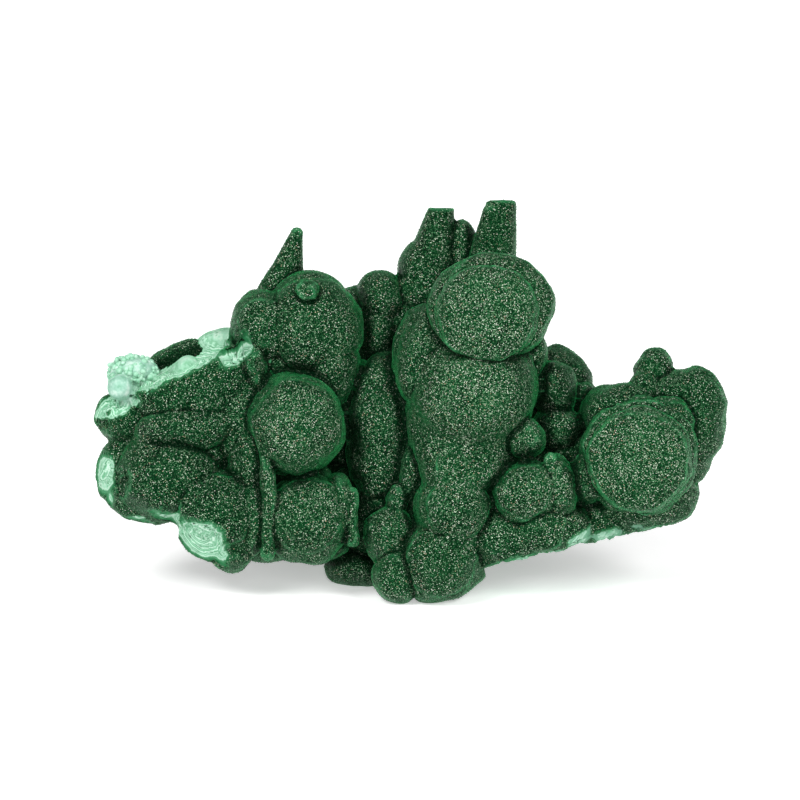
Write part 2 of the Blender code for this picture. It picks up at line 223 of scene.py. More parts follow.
# Stretches of the left end that healed green, x from and to, z from and to, and how far back they reach.
HEALED = ((-74.3, -66, 24, 42), (-82, -73, 40, 46.5))
HEALED_BACK = 24
# The upper edge of the low hook-shaped break: the x and z of a point on it, and its fall to the right.
HOOK_EDGE = (-63.5, 21.75, 0.5)
WING_CORNER = (-66, 44, 54)  # where the bands lie close: left of x, between z and z
UNDERSIDE_STRIP = (34, 60, 21, 22)  # the chalky strip: x from and to, below z, in front of y
GREEN_EDGE = 60.5  # the green fragment is broken above this z

# Overlapping shells on the lumps, in each lump's own plane: centre across and up, radius, thickness.
LEDGES = {
    "head": ((0.0, 0.0, 12.4, 0.28),),
    "head_shell": ((1.6, 0.6, 13.4, 0.4),),
    "column_waist": ((1.5, 0.5, 8.2, 0.2),),
    "column_belly": ((1.2, 0.0, 7.8, 0.3),),
    "foot": ((0.5, -0.5, 8.6, 0.25),),
    "bud": ((-0.5, 0.5, 6.8, 0.2),),
    "rosette": ((-0.3, -0.4, 12.4, 0.4),),
    "rosette_shell": ((0.2, 0.2, 14.1, 0.6),),
    "rosette_lobe": ((0.2, 0.2, 6.0, 0.3),),
    "belly": ((0.5, -0.5, 11.6, 0.25),),
    "belly_low": ((0.0, 1.0, 9.2, 0.2),),
    "shoulder_knob": ((0.0, 0.0, 2.3, 0.12),),
    "shoulder_left": ((0.5, 0.5, 7.6, 0.25),),
    "wing_top": ((4.0, -1.0, 10.5, 0.15),),
    "wing_low_right": ((0.0, 1.5, 9.4, 0.3),),
    "skirt_outer": ((-2.0, 1.0, 7.4, 0.2),),
    "back_mid": ((0.0, 0.0, 11.5, 0.3),),
    "back_left": ((0.0, 0.0, 11.5, 0.3),),
}
LEDGE_EDGE = 0.4  # the width of a shell's edge
LEDGE_GAIN = 2.2  # every shell stands out this many times its thickness
LEDGE_FRONT = 4  # how soon a shell fades out towards the lump's flank

FAMILY_OF = {name: rank for rank, names in enumerate(FAMILIES) for name in names}
KIND = {name: rank for rank, name in enumerate(REMNANTS, start=1)}  # 0 is the stone itself
BANDED = (0, KIND["remnant_back"], KIND["remnant_green"])  # kinds with a skin and a depth; the rest are bare
CHALKY = (KIND["remnant_ball"], KIND["remnant_bloom"])


# ---- the shape --------------------------------------------------------------------------------------------


def to_frame(points):
    """From the layout to the frame, both in millimetres."""
    x, y, z = points.T
    away = y * math.cos(LEAN) + z * math.sin(LEAN)
    up = z * math.cos(LEAN) - y * math.sin(LEAN)
    return np.stack([x, away, up], axis=1) + SHIFT


def to_layout(points):
    """From the frame to the layout, both in millimetres."""
    x, y, z = (points - SHIFT).T
    away = y * math.cos(LEAN) - z * math.sin(LEAN)
    up = y * math.sin(LEAN) + z * math.cos(LEAN)
    return np.stack([x, away, up], axis=1)


def waves(points, length, seed, count=7):
    """A smooth random field of about -1 to 1 whose bumps are about one length apart."""
    rng = np.random.default_rng(seed)
    turns = rng.normal(size=(count, 3))
    size = np.linalg.norm(turns, axis=1, keepdims=True)
    turns *= 2 * math.pi / length * rng.uniform(0.7, 1.4, (count, 1)) / size
    phases = rng.uniform(0, 2 * math.pi, count)
    field = np.zeros(len(points))
    for turn, phase in zip(turns, phases):
        field += np.sin(points @ turn + phase)
    return field / math.sqrt(count)


def warp(points):
    """Bends space a little, so that no lump stays a perfect egg."""
    stray = 0
    for length, height, seeds in BENDS:
        stray = stray + np.stack([waves(points, length, seed) for seed in seeds], axis=1) * height
    calm = np.clip((CALM_ABOVE - points[:, 2:]) / CALM_OVER, CALM_LEAST, 1)
    return points + stray * calm


def ledge_height(x, z, ledge):
    """How much one shell adds to its lump at a place on the lump's face."""
    across, up, radius, thickness = ledge
    out = np.hypot(x - across, z - up)
    angle = np.arctan2(z - up, x - across)
    edge = radius
    for scallops, height, phase in ((3, 0.3, across), (7, 0.15, up), (15, 0.08, 0)):
        edge = edge + height * np.sin(scallops * angle + phase)
    return LEDGE_GAIN * thickness * np.clip((edge - out) / LEDGE_EDGE + 0.5, 0, 1)


def egg_distance(points, lump, ledges=()):
    """Distance to an egg-shaped lump, less the shells that lie on its face."""
    offset = points - np.array(lump[:3])
    radii = np.array(lump[3:6])
    lean = math.radians(lump[6])
    x = offset[:, 0] * math.cos(lean) - offset[:, 2] * math.sin(lean)
    z = offset[:, 0] * math.sin(lean) + offset[:, 2] * math.cos(lean)
    local = np.stack([x, offset[:, 1], z], axis=1)
    near = np.linalg.norm(local / radii, axis=1)
    steep = np.maximum(np.linalg.norm(local / radii ** 2, axis=1), 1e-6)
    distance = near * (near - 1) / steep
    front = np.clip(-offset[:, 1] / radii[1] * LEDGE_FRONT, 0, 1)
    for ledge in ledges:
        distance = distance - ledge_height(x, z, ledge) * front
    return distance


def finger_distance(points, finger):
    """Distance to a round finger that tapers from its root to its tip."""
    root, tip = np.array(finger[0]), np.array(finger[1])
    axis = tip[:3] - root[:3]
    offset = points - root[:3]
    along = np.clip(offset @ axis / (axis @ axis), 0, 1)
    radius = root[3] + (tip[3] - root[3]) * along
    return np.linalg.norm(offset - along[:, None] * axis, axis=1) - radius


def soft_union(first, second, reach=BLEND):
    """The smaller of two distances, rounded where they are about equal."""
    share = np.clip(0.5 + 0.5 * (second - first) / reach, 0, 1)
    return second + (first - second) * share - reach * share * (1 - share)


def points_near(points, centre, reach):
    return np.flatnonzero(np.max(np.abs(points - centre), axis=1) < reach + NEARBY)


def lump_fields(points):
    """Each lump's or finger's name, which points are near it, and their distances to it."""
    for group in (HEART, BACK, LUMPS):
        for name, lump in group.items():
            close = points_near(points, np.array(lump[:3]), max(lump[3:6]))
            yield name, close, egg_distance(points[close], lump, LEDGES.get(name, ()))
    for name, finger in FINGERS.items():
        root, tip = np.array(finger[0]), np.array(finger[1])
        reach = np.linalg.norm(tip[:3] - root[:3]) / 2 + root[3]
        close = points_near(points, (root[:3] + tip[:3]) / 2, reach)
        yield name, close, finger_distance(points[close], finger)


def grown_distance(points):
    """Distance to the skin of the whole growth before it was broken."""
    first, second, smooth = (np.full(len(points), FAR) for _ in range(3))
    families = [np.full(len(points), FAR) for _ in FAMILIES]
    for name, close, here in lump_fields(warp(points)):
        if name in FAMILY_OF:
            family = families[FAMILY_OF[name]]
            family[close] = soft_union(family[close], here, FAMILY_BLEND)
            continue
        second[close] = np.minimum(second[close], np.maximum(first[close], here))
        first[close] = np.minimum(first[close], here)
        smooth[close] = soft_union(smooth[close], here)
    for family in families:
        second = np.minimum(second, np.maximum(first, family))
        first = np.minimum(first, family)
        smooth = soft_union(smooth, family)
    return smooth + GROOVE * np.exp(-(second - first) / GROOVE_WIDTH)


def above_hook(points):
    """Distance above the line where the shell of the low hook broke off."""
    x, z, fall = HOOK_EDGE
    return (points[:, 2] - z + fall * (points[:, 0] - x)) / math.hypot(1, fall)


def cut_distance(points, depth):
    """Distance outside the broken faces: positive where stone is left."""
    rough = 0
    for length, height, seed in BREAK_WAVES:
        rough = rough + waves(points, length, seed) * height
    shell = np.maximum(depth, 0) / SHELL + SHELL_WAVER * waves(points, SHELL_WAVER_LENGTH, SHELL_WAVER_SEED)
    steps = SHELL_STEP * (shell % 1.0) * (depth < SHELLS_TO)
    left = np.full(len(points), FAR)
    for name, (point, facing, across, deep) in (BREAKS | CHIPS).items():
        normal = np.array(facing) / np.linalg.norm(facing)
        side = np.cross(normal, (0.0, 1.0, 0.0))
        side /= np.linalg.norm(side)
        along = np.cross(normal, side)
        offset = points - np.array(point)
        ragged = STALACTITE_ROUGHNESS if name.startswith("break_stalactite") else 1.0
        high = offset @ normal + (rough + steps - BREAK_LEVEL) * ragged
        box = np.maximum(np.abs(offset @ side) - across / 2, np.abs(offset @ along) - deep / 2)
        box = np.maximum(box, -high)
        if name == "break_wing_low":
            box = np.maximum(box, above_hook(points) + rough)
        left = np.minimum(left, np.maximum(box, high - CUT_DEPTH))
    scoop = egg_distance(points, (*SCOOP_CENTRE, *SCOOP_RADII, 0)) - rough - steps + SCOOP_LEVEL
    return np.minimum(left, scoop)


def stone_distance(points):
    """Distance to the finished stone, its depth under the skin, and which kind of remnant it is, or 0."""
    skin = grown_distance(points)
    whole = np.maximum(skin, -cut_distance(points, -skin))
    kind = np.zeros(len(points))
    bent = warp(points)
    for name, lump in REMNANTS.items():
        here = egg_distance(points if name == "remnant_ball" else bent, lump)
        kind = np.where(here < whole, KIND[name], kind)
        whole = np.minimum(whole, here)
    return whole, -skin, kind


NUDGE = 0.05  # over which the distance's slope is measured
FLATTEST = 0.3  # a squared slope that a step is never worked out below
STEP_SHARE, LONGEST_STEP = 0.9, 0.9


def settle_on_stone(places, rounds):
    """Moves points, in the frame and in millimetres, onto the stone's surface."""
    points = to_layout(places)
    for turn in range(rounds):
        here = stone_distance(points)[0]
        if turn % 2 == 0:
            slope = np.empty_like(points)
            for axis in range(3):
                moved = points.copy()
                moved[:, axis] += NUDGE
                slope[:, axis] = (stone_distance(moved)[0] - here) / NUDGE
            size = np.maximum(np.sum(slope ** 2, axis=1), FLATTEST)
        step = slope * (here / size)[:, None]
        length = np.linalg.norm(step, axis=1)
        step *= np.minimum(1, LONGEST_STEP / np.maximum(length, 1e-9))[:, None]
        points = points - step * STEP_SHARE
    places = to_frame(points)
    places[:, 2] = np.maximum(places[:, 2], 0.0)
    return places


def coordinates(mesh):
    flat = np.empty(len(mesh.vertices) * 3, np.float32)
    mesh.vertices.foreach_get("co", flat)
    return flat.reshape(-1, 3).astype(float)


def surface_normals(mesh):
    flat = np.empty(len(mesh.vertices) * 3, np.float32)
    mesh.vertices.foreach_get("normal", flat)
    return flat.reshape(-1, 3)


def triangles_of(mesh):
    mesh.calc_loop_triangles()
    corners = np.empty(len(mesh.loop_triangles) * 3, np.int32)
    mesh.loop_triangles.foreach_get("vertices", corners)
    return corners.reshape(-1, 3)


def link(name, data):
    """A new object in the scene."""
    made = bpy.data.objects.new(name, data)
    bpy.context.scene.collection.objects.link(made)
    return made


def remeshed(mesh, voxel):
    """A new mesh of even facets over the same shape."""
    holder = link("holder", mesh)
    remesh = holder.modifiers.new("remesh", "REMESH")
    remesh.mode = "VOXEL"
    remesh.voxel_size = voxel * MM
    graph = bpy.context.evaluated_depsgraph_get()
    made = bpy.data.meshes.new_from_object(holder.evaluated_get(graph))
    bpy.data.objects.remove(holder)
    return made


def stone_mesh(node):
    """The stone's visible surface, made from the CAD node's mesh."""
    mesh = node.data.copy()
    shape = bmesh.new()
    shape.from_mesh(mesh)
    bmesh.ops.remove_doubles(shape, verts=shape.verts, dist=0.001 * MM)
    shape.to_mesh(mesh)
    shape.free()
    for voxel, rounds in SETTLINGS:
        mesh = remeshed(mesh, voxel)
        places = settle_on_stone(coordinates(mesh) / MM, rounds)
        mesh.vertices.foreach_set("co", (places * MM).astype(np.float32).ravel())
        mesh.update()
    return mesh


# ---- what the colours follow ------------------------------------------------------------------------------

SHELTER_REACHES = (2.5, 6.0, 12.0)
# Hollowness from which the colours paint shade into creases and a highlight onto rims.
CREASE_FROM, CREASE_OVER = 0.035, 0.10  # hollowness, in millimetres
RIM_FROM, RIM_OVER = 0.042, 0.06
RIM_FACING, RIM_TURN = 0.97, 0.12  # no painted rim highlight where the surface faces the viewer squarely
HEALED_CREASE = 0.2  # what is left of a crease where the stone healed
BROKEN_DEPTH = 0.25  # the stone shows as broken from this depth under the skin
BARE_DEPTH = 1.5  # given to the remnants that have no skin
STRIP_CHALK = 0.35
# Painted shade that darkens the skin and leaves fewer bright glints towards the back, the left wing and the
# bottom: how much, from where, and over how many millimetres; and how it mottles.
DIM_SHADE_BACK, DIM_SHADE_WING, DIM_SHADE_LOW = (0.7, -4, 16), (0.9, 34, 8), (0.5, -34, 12)
MOTTLE, MOTTLE_LENGTH, MOTTLE_SEED = 0.12, 14.0, 41


def shelter(points, directions):
    """How far the lumps around each point, in the layout, shade it: 0 in the open, towards 1 in a cleft."""
    shade = np.zeros(len(points))
    for reach in SHELTER_REACHES:
        shade += np.clip(1 - grown_distance(points + directions * reach) / reach, 0, 1)
    return shade / len(SHELTER_REACHES)


def hollowness(mesh):
    """How far each vertex lies below its neighbours, in millimetres: above 0 in creases, below on rims."""
    places = coordinates(mesh) / MM
    edges = np.empty(len(mesh.edges) * 2, np.int32)
    mesh.edges.foreach_get("vertices", edges)
    first, second = edges.reshape(-1, 2).T
    count = np.maximum(np.bincount(edges, minlength=len(places)), 1)[:, None]

    def around(values):
        total = np.zeros_like(values)
        for column in range(values.shape[1]):
            total[:, column] += np.bincount(first, values[second, column], len(values))
            total[:, column] += np.bincount(second, values[first, column], len(values))
        return total / count

    mean = around(around(places))
    below = np.sum((mean - places) * surface_normals(mesh), axis=1)[:, None]
    return ((below + around(below)) / 2)[:, 0]


def opened(points):
    """For points in the layout, 1, or 0 where the stone healed green."""
    x, y, z = points.T
    share = np.ones(len(points))
    for left, right, low, high in HEALED:
        share[(x > left) & (x < right) & (z > low) & (z < high) & (y < HEALED_BACK)] = 0
    return share


def rise(values, start, width):
    """0 up to the start, 1 past the width, and straight between them."""
    return np.clip((values - start) / width, 0, 1)


def add_attribute(mesh, name, values):
    layer = mesh.attributes.new(name, "FLOAT", "POINT")
    layer.data.foreach_set("value", np.asarray(values, np.float32))


def banding_depth(layout, depth, kind):
    """The depth under the skin that the bands follow: 0 on the skin, and where the stone healed."""
    x, _, z = layout.T
    depth = np.maximum(depth, 0) * opened(layout)
    depth = np.where(kind == KIND["remnant_back"], 0, depth)
    left_of, low, high = WING_CORNER
    depth = np.where((x < left_of) & (z > low) & (z < high) & (depth > 0.2), 1.2 + 1.6 * depth, depth)
    broken_green = (kind == KIND["remnant_green"]) & (z > GREEN_EDGE)
    return np.where(broken_green, 0.9 + 0.25 * (z - GREEN_EDGE), depth)


def read_surface(mesh):
    """Writes the attributes that the colours follow, and gives the depth, the creases and the kinds."""
    layout = to_layout(coordinates(mesh) / MM)
    x, y, z = layout.T
    _, depth, kind = stone_distance(layout)
    depth = banding_depth(layout, depth, kind)
    normals = surface_normals(mesh).astype(float)
    # how squarely the surface faces the display axis; the colours paint sheen and glints by it
    facing = np.abs(normals @ AWAY)
    hollow = hollowness(mesh)
    # the creases, which the colours darken as painted shade
    crease = rise(hollow, CREASE_FROM, CREASE_OVER) * (HEALED_CREASE + (1 - HEALED_CREASE) * opened(layout))
    # painted highlight on convex rims, none where the surface faces the display axis squarely
    painted_rim_light = rise(-hollow, RIM_FROM, RIM_OVER) * rise(-facing, -RIM_FACING, RIM_TURN)
    # painted shade: darker towards the back, the left wing and the bottom, and mottled
    dim_shade = np.maximum.reduce([
        share * rise(values, start, width)
        for values, (share, start, width) in ((y, DIM_SHADE_BACK), (-x, DIM_SHADE_WING), (-z, DIM_SHADE_LOW))])
    dim_shade = np.clip(dim_shade + MOTTLE * waves(layout, MOTTLE_LENGTH, MOTTLE_SEED), 0, 1)
    left, right, below, before = UNDERSIDE_STRIP
    strip = (x > left) & (x < right) & (z < below) & (y < before) & (depth > BROKEN_DEPTH)
    pale = np.where(np.isin(kind, CHALKY), 1, np.where(strip, STRIP_CHALK, 0))

    add_attribute(mesh, "depth", np.where(np.isin(kind, BANDED), depth, BARE_DEPTH))
    add_attribute(mesh, "crease", crease)
    add_attribute(mesh, "painted_rim_light", painted_rim_light)
    add_attribute(mesh, "pale", pale)
    add_attribute(mesh, "facing", facing)
    add_attribute(mesh, "shade", shelter(layout, to_layout(normals + SHIFT)))
    add_attribute(mesh, "dim_shade", dim_shade)
    return depth, crease, kind


def stone_parts(mesh, material):
    """The surface in strips from left to right, with the whole surface's normals, so that no seam shows."""
    normals = surface_normals(mesh)
    places = coordinates(mesh)
    faces = triangles_of(mesh)
    layers = {name: np.empty(len(places), np.float32) for name in LAYERS}
    for name, values in layers.items():
        mesh.attributes[name].data.foreach_get("value", values)
    order = np.argsort(places[faces[:, 0], 0], kind="stable")
    for strip in np.array_split(order, STONE_PARTS):
        used, corners = np.unique(faces[strip], return_inverse=True)
        corners = corners.reshape(-1, 3)
        part = bpy.data.meshes.new("malachite_stone")
        part.from_pydata(places[used].tolist(), [], corners.tolist())
        part.shade_smooth()
        for name, values in layers.items():
            add_attribute(part, name, values[used])
        part.normals_split_custom_set_from_vertices(normals[used].tolist())
        part.materials.append(material)
        yield part


# ---- materials --------------------------------------------------------------------------------------------


class Nodes:
    """Short-hand for building one material's node tree."""

    def __init__(self, name):
        self.material = bpy.data.materials.new(name)
        self.material.use_nodes = True
        self.tree = self.material.node_tree
        self.surface = self.tree.nodes["Principled BSDF"]
        self.space = None

    def add(self, kind, **settings):
        node = self.tree.nodes.new(kind)
        for key, value in settings.items():
            setattr(node, key, value)
        return node

    def join(self, source, target):
        self.tree.links.new(source, target)

    def feed(self, socket, value):
        """Sets a socket to a number or a colour, or joins another socket to it."""
        if isinstance(value, (int, float)):
            socket.default_value = value
        elif isinstance(value, tuple):
            socket.default_value = (*value, 1.0)
        else:
            self.join(value, socket)

    def place(self):
        """Where a point is on the piece, for the noise and the cells."""
        if self.space is None:
            self.space = self.add("ShaderNodeTexCoord").outputs["Object"]
        return self.space

    def attribute(self, name):
        return self.add("ShaderNodeAttribute", attribute_name=name).outputs["Fac"]

    def noise(self, scale, detail):
        """Smooth noise of so many bumps a metre."""
        node = self.add("ShaderNodeTexNoise")
        node.inputs["Scale"].default_value = scale
        node.inputs["Detail"].default_value = detail
        node.inputs["Roughness"].default_value = 0.55
        self.join(self.place(), node.inputs["Vector"])
        return node.outputs["Fac"]

    def cells(self, scale):
        """Round cells, so many a metre."""
        node = self.add("ShaderNodeTexVoronoi")
        node.inputs["Scale"].default_value = scale
        self.join(self.place(), node.inputs["Vector"])
        return node

    def math(self, operation, first, second=0.0):
        node = self.add("ShaderNodeMath", operation=operation)
        for socket, value in zip(node.inputs, (first, second)):
            self.feed(socket, value)
        return node.outputs[0]

    def times(self, first, second):
        return self.math("MULTIPLY", first, second)

    def plus(self, first, second):
        return self.math("ADD", first, second)

    def less(self, first, second):
        return self.math("SUBTRACT", first, second)

    def vector_math(self, operation, first, second=None):
        node = self.add("ShaderNodeVectorMath", operation=operation)
        self.join(first, node.inputs[0])
        if isinstance(second, tuple):
            node.inputs[1].default_value = second
        elif operation == "SCALE":
            self.join(second, node.inputs["Scale"])
        elif second is not None:
            self.join(second, node.inputs[1])
        return node.outputs["Vector"]

    def steps(self, value, low, high):
        """0 below low, 1 above high, and smooth between them."""
        node = self.add("ShaderNodeMapRange", interpolation_type="SMOOTHSTEP")
        node.inputs["From Min"].default_value = low
        node.inputs["From Max"].default_value = high
        self.join(value, node.inputs["Value"])
        return node.outputs["Result"]

    def ramp(self, value, stops):
        """Colours, each given with its place from 0 to 1, and mixed between them."""
        node = self.add("ShaderNodeValToRGB")
        elements = node.color_ramp.elements
        while len(elements) < len(stops):
            elements.new(0.5)
        for element, (spot, colour) in zip(elements, stops):
            element.position = spot
            element.color = (*colour, 1.0)
        self.join(value, node.inputs["Fac"])
        return node.outputs["Color"]

    def mix(self, share, first, second):
        node = self.add("ShaderNodeMix", data_type="RGBA")
        sockets = [socket for socket in node.inputs if socket.enabled]
        for socket, value in zip(sockets, (share, first, second)):
            self.feed(socket, value)
        return [socket for socket in node.outputs if socket.enabled][0]

    def bump(self, height, distance, strength):
        node = self.add("ShaderNodeBump")
        node.inputs["Distance"].default_value = distance
        node.inputs["Strength"].default_value = strength
        self.join(height, node.inputs["Height"])
        return node.outputs["Normal"]


def srgb(red, green, blue):
    """A colour given as 0 to 255 values."""
    parts = [value / 255 for value in (red, green, blue)]
    return tuple(v / 12.92 if v <= 0.04045 else ((v + 0.055) / 1.055) ** 2.4 for v in parts)


# Sizes of the patterns, as bumps or cells a metre.
BLOTCHES, PATCHES, SPECKLES = 110.0, 170.0, 5000.0
BAND_WAVER, BAND_RIPPLE = 240.0, 900.0
CHALK, BUD_CHALK, GRAIN = 420.0, 500.0, 1400.0
BAND_DEPTH = 14.0  # millimetres that the broad bands run through
FINE_BAND = 0.95  # the width of a fine one
GRAIN_HEIGHT = 0.0004  # metres


def skin_colour(n, cells):
    """The drusy skin: plain green on the flanks, lightened there as painted sheen, and speckled with crystals
    whose brightest are painted glints where a lump faces out; with painted highlights on rims and painted
    shade in creases, clefts and towards the back.
    """
    facing, dim_shade = n.attribute("facing"), n.attribute("dim_shade")
    blotch = n.noise(BLOTCHES, 4.0)
    base = n.ramp(blotch, [(0.30, srgb(12, 66, 32)), (0.55, srgb(18, 82, 42)), (0.78, srgb(28, 98, 54))])
    # painted sheen: the flanks, turned from the display axis, are a lighter green
    flank = n.steps(n.less(1.0, facing), 0.45, 0.95)
    base = n.mix(n.times(flank, 0.5), base, srgb(44, 124, 72))
    # painted shade: darker towards the back, the left wing and the bottom
    base = n.mix(n.times(dim_shade, 0.5), base, srgb(4, 40, 18))

    tint = n.add("ShaderNodeSeparateColor")
    n.join(cells.outputs["Color"], tint.inputs["Color"])
    # the brightest cells are painted glints; the painted shade above leaves fewer of them
    glint = n.math("POWER", tint.outputs["Red"], n.plus(1.0, n.times(dim_shade, 0.9)))
    speckle_and_glints = n.ramp(glint, [
        (0.00, srgb(0, 6, 3)), (0.25, srgb(2, 30, 13)), (0.50, srgb(14, 68, 34)),
        (0.72, srgb(60, 114, 73)), (0.90, srgb(134, 166, 132)), (1.00, srgb(236, 242, 224))])
    # a few painted glints in a warm tint
    warm_glint = n.times(n.steps(tint.outputs["Green"], 0.94, 0.97), n.steps(glint, 0.70, 0.90))
    speckle_and_glints = n.mix(warm_glint, speckle_and_glints, srgb(206, 178, 150))
    # painted shade in the gaps between crystals
    gap_shade = n.steps(cells.outputs["Distance"], 0.36, 0.70)
    speckle_and_glints = n.mix(n.times(gap_shade, 0.9), speckle_and_glints, srgb(1, 10, 4))

    patch = n.steps(n.noise(PATCHES, 2.0), 0.3, 0.7)
    # painted glints: the speckle is fullest where the surface faces out along the display axis, sparser on
    # the flanks
    share = n.times(n.steps(facing, 0.2, 0.7), n.plus(0.72, n.times(patch, 0.28)))
    skin = n.mix(n.plus(0.25, n.times(share, 0.75)), base, speckle_and_glints)
    # painted highlight: a lighter green on convex rims, less where the painted shade dims the skin
    painted_rim_light = n.times(n.attribute("painted_rim_light"), n.less(0.6, n.times(dim_shade, 0.35)))
    skin = n.mix(painted_rim_light, skin, srgb(60, 142, 90))
    # painted shade: creases, and clefts sheltered by the lumps around them, darkened to near black
    crease_shade = n.times(n.steps(n.attribute("crease"), 0.05, 0.9), 0.85)
    shade = n.times(n.steps(n.attribute("shade"), 0.30, 0.92), 0.85)
    return n.mix(n.math("MAXIMUM", crease_shade, shade), skin, srgb(1, 9, 4))


def chalk_colour(n, scale, stops):
    return n.ramp(n.noise(scale, 4.0), stops)


def broken_colour(n, depth, pale):
    """The broken stone: bands that follow the skin, with a green rind and pale within."""
    waver = n.less(n.noise(BAND_WAVER, 3.0), 0.5)
    ripple = n.less(n.noise(BAND_RIPPLE, 2.0), 0.5)
    level = n.plus(depth, n.plus(n.times(waver, 1.8), n.times(ripple, 0.4)))
    broad = n.ramp(n.math("DIVIDE", level, BAND_DEPTH), [
        (0.00, srgb(28, 84, 50)), (0.05, srgb(46, 110, 70)), (0.085, srgb(62, 128, 86)),
        (0.105, srgb(196, 226, 210)), (0.135, srgb(96, 160, 122)), (0.19, srgb(128, 186, 152)),
        (0.30, srgb(168, 212, 186)), (0.42, srgb(126, 184, 150)), (0.55, srgb(172, 214, 190)),
        (0.75, srgb(104, 164, 128)), (1.00, srgb(74, 140, 100))])
    fine = n.ramp(n.math("FRACT", n.math("DIVIDE", level, FINE_BAND)), [
        (0.00, srgb(58, 122, 82)), (0.14, srgb(150, 202, 172)), (0.28, srgb(216, 238, 224)),
        (0.46, srgb(130, 184, 152)), (0.70, srgb(84, 148, 108)), (0.86, srgb(176, 216, 192)),
        (1.00, srgb(58, 122, 82))])
    bands = n.mix(n.times(n.steps(level, 0.6, 1.6), 0.75), broad, fine)
    chalk = chalk_colour(n, CHALK, [
        (0.3, srgb(106, 156, 130)), (0.5, srgb(144, 184, 166)), (0.7, srgb(190, 212, 200))])
    return n.mix(pale, bands, chalk)


def stone_material():
    """Each crystal of the skin is a facet with a tilt of its own; the broken stone is only rough."""
    n = Nodes("malachite_stone")
    depth, crease, pale = n.attribute("depth"), n.attribute("crease"), n.attribute("pale")
    cells = n.cells(SPECKLES)
    broken = n.math("MAXIMUM", n.steps(depth, BROKEN_DEPTH, 2 * BROKEN_DEPTH), pale)
    colour = n.mix(broken, skin_colour(n, cells), broken_colour(n, depth, pale))
    n.join(colour, n.surface.inputs["Base Color"])

    rough = n.bump(n.noise(GRAIN, 4.0), GRAIN_HEIGHT, 0.8)
    tilt = n.vector_math("SUBTRACT", cells.outputs["Color"], (0.5, 0.5, 0.5))
    tilted = n.times(n.times(n.less(1.0, broken), 0.4), n.less(1.0, crease))
    facet = n.vector_math("ADD", rough, n.vector_math("SCALE", tilt, tilted))
    n.join(n.vector_math("NORMALIZE", facet), n.surface.inputs["Normal"])
    matt = n.math("MAXIMUM", crease, n.times(broken, 0.3))
    n.join(n.plus(0.32, n.times(matt, 0.6)), n.surface.inputs["Roughness"])
    n.surface.inputs["Specular IOR Level"].default_value = 0.12
    n.surface.inputs["Specular Tint"].default_value = (*srgb(90, 200, 120), 1.0)
    n.surface.inputs["Sheen Weight"].default_value = 1.0
    n.surface.inputs["Sheen Roughness"].default_value = 0.16
    n.surface.inputs["Sheen Tint"].default_value = (*srgb(40, 160, 84), 1.0)
    return n.material


# Tints of the druse: colour, roughness, share of the crystals.
DRUSE = {
    "druse_dark_green": (srgb(4, 30, 13), 0.30, 0.36),
    "druse_green": (srgb(12, 58, 28), 0.28, 0.34),
    "druse_mid_green": (srgb(32, 76, 44), 0.26, 0.20),
    "druse_sage": (srgb(78, 108, 80), 0.24, 0.08),
    "druse_cream": (srgb(168, 182, 152), 0.22, 0.02),
}


def druse_materials():
    made = []
    for name, (colour, rough, _) in DRUSE.items():
        n = Nodes(name)
        n.surface.inputs["Base Color"].default_value = (*colour, 1.0)
        n.surface.inputs["Roughness"].default_value = rough
        n.surface.inputs["Specular IOR Level"].default_value = 0.25
        n.surface.inputs["Specular Tint"].default_value = (*srgb(90, 200, 120), 1.0)
        made.append(n.material)
    return made


# ---- the druse --------------------------------------------------------------------------------------------

CRYSTALS = 80000
PIECES = 2
CRYSTAL_SIZE, SIZE_SPREAD = 0.105, 0.25
CRYSTAL_LIFT = 0.05  # above the skin
CRYSTAL_SPREAD = 0.28  # how far crystals stray from standing upright
SKIN_DEPTH = 0.35  # crystals stand where the stone is no deeper under the skin
BARE_FOOT = 0.0004  # metres above the base cut
CORNERS = np.array([[0, 0, 1.0], [0.94, 0, -0.33], [-0.47, 0.82, -0.33], [-0.47, -0.82, -0.33]])
SIDES = np.array([[0, 1, 2], [0, 2, 3], [0, 3, 1], [1, 3, 2]])


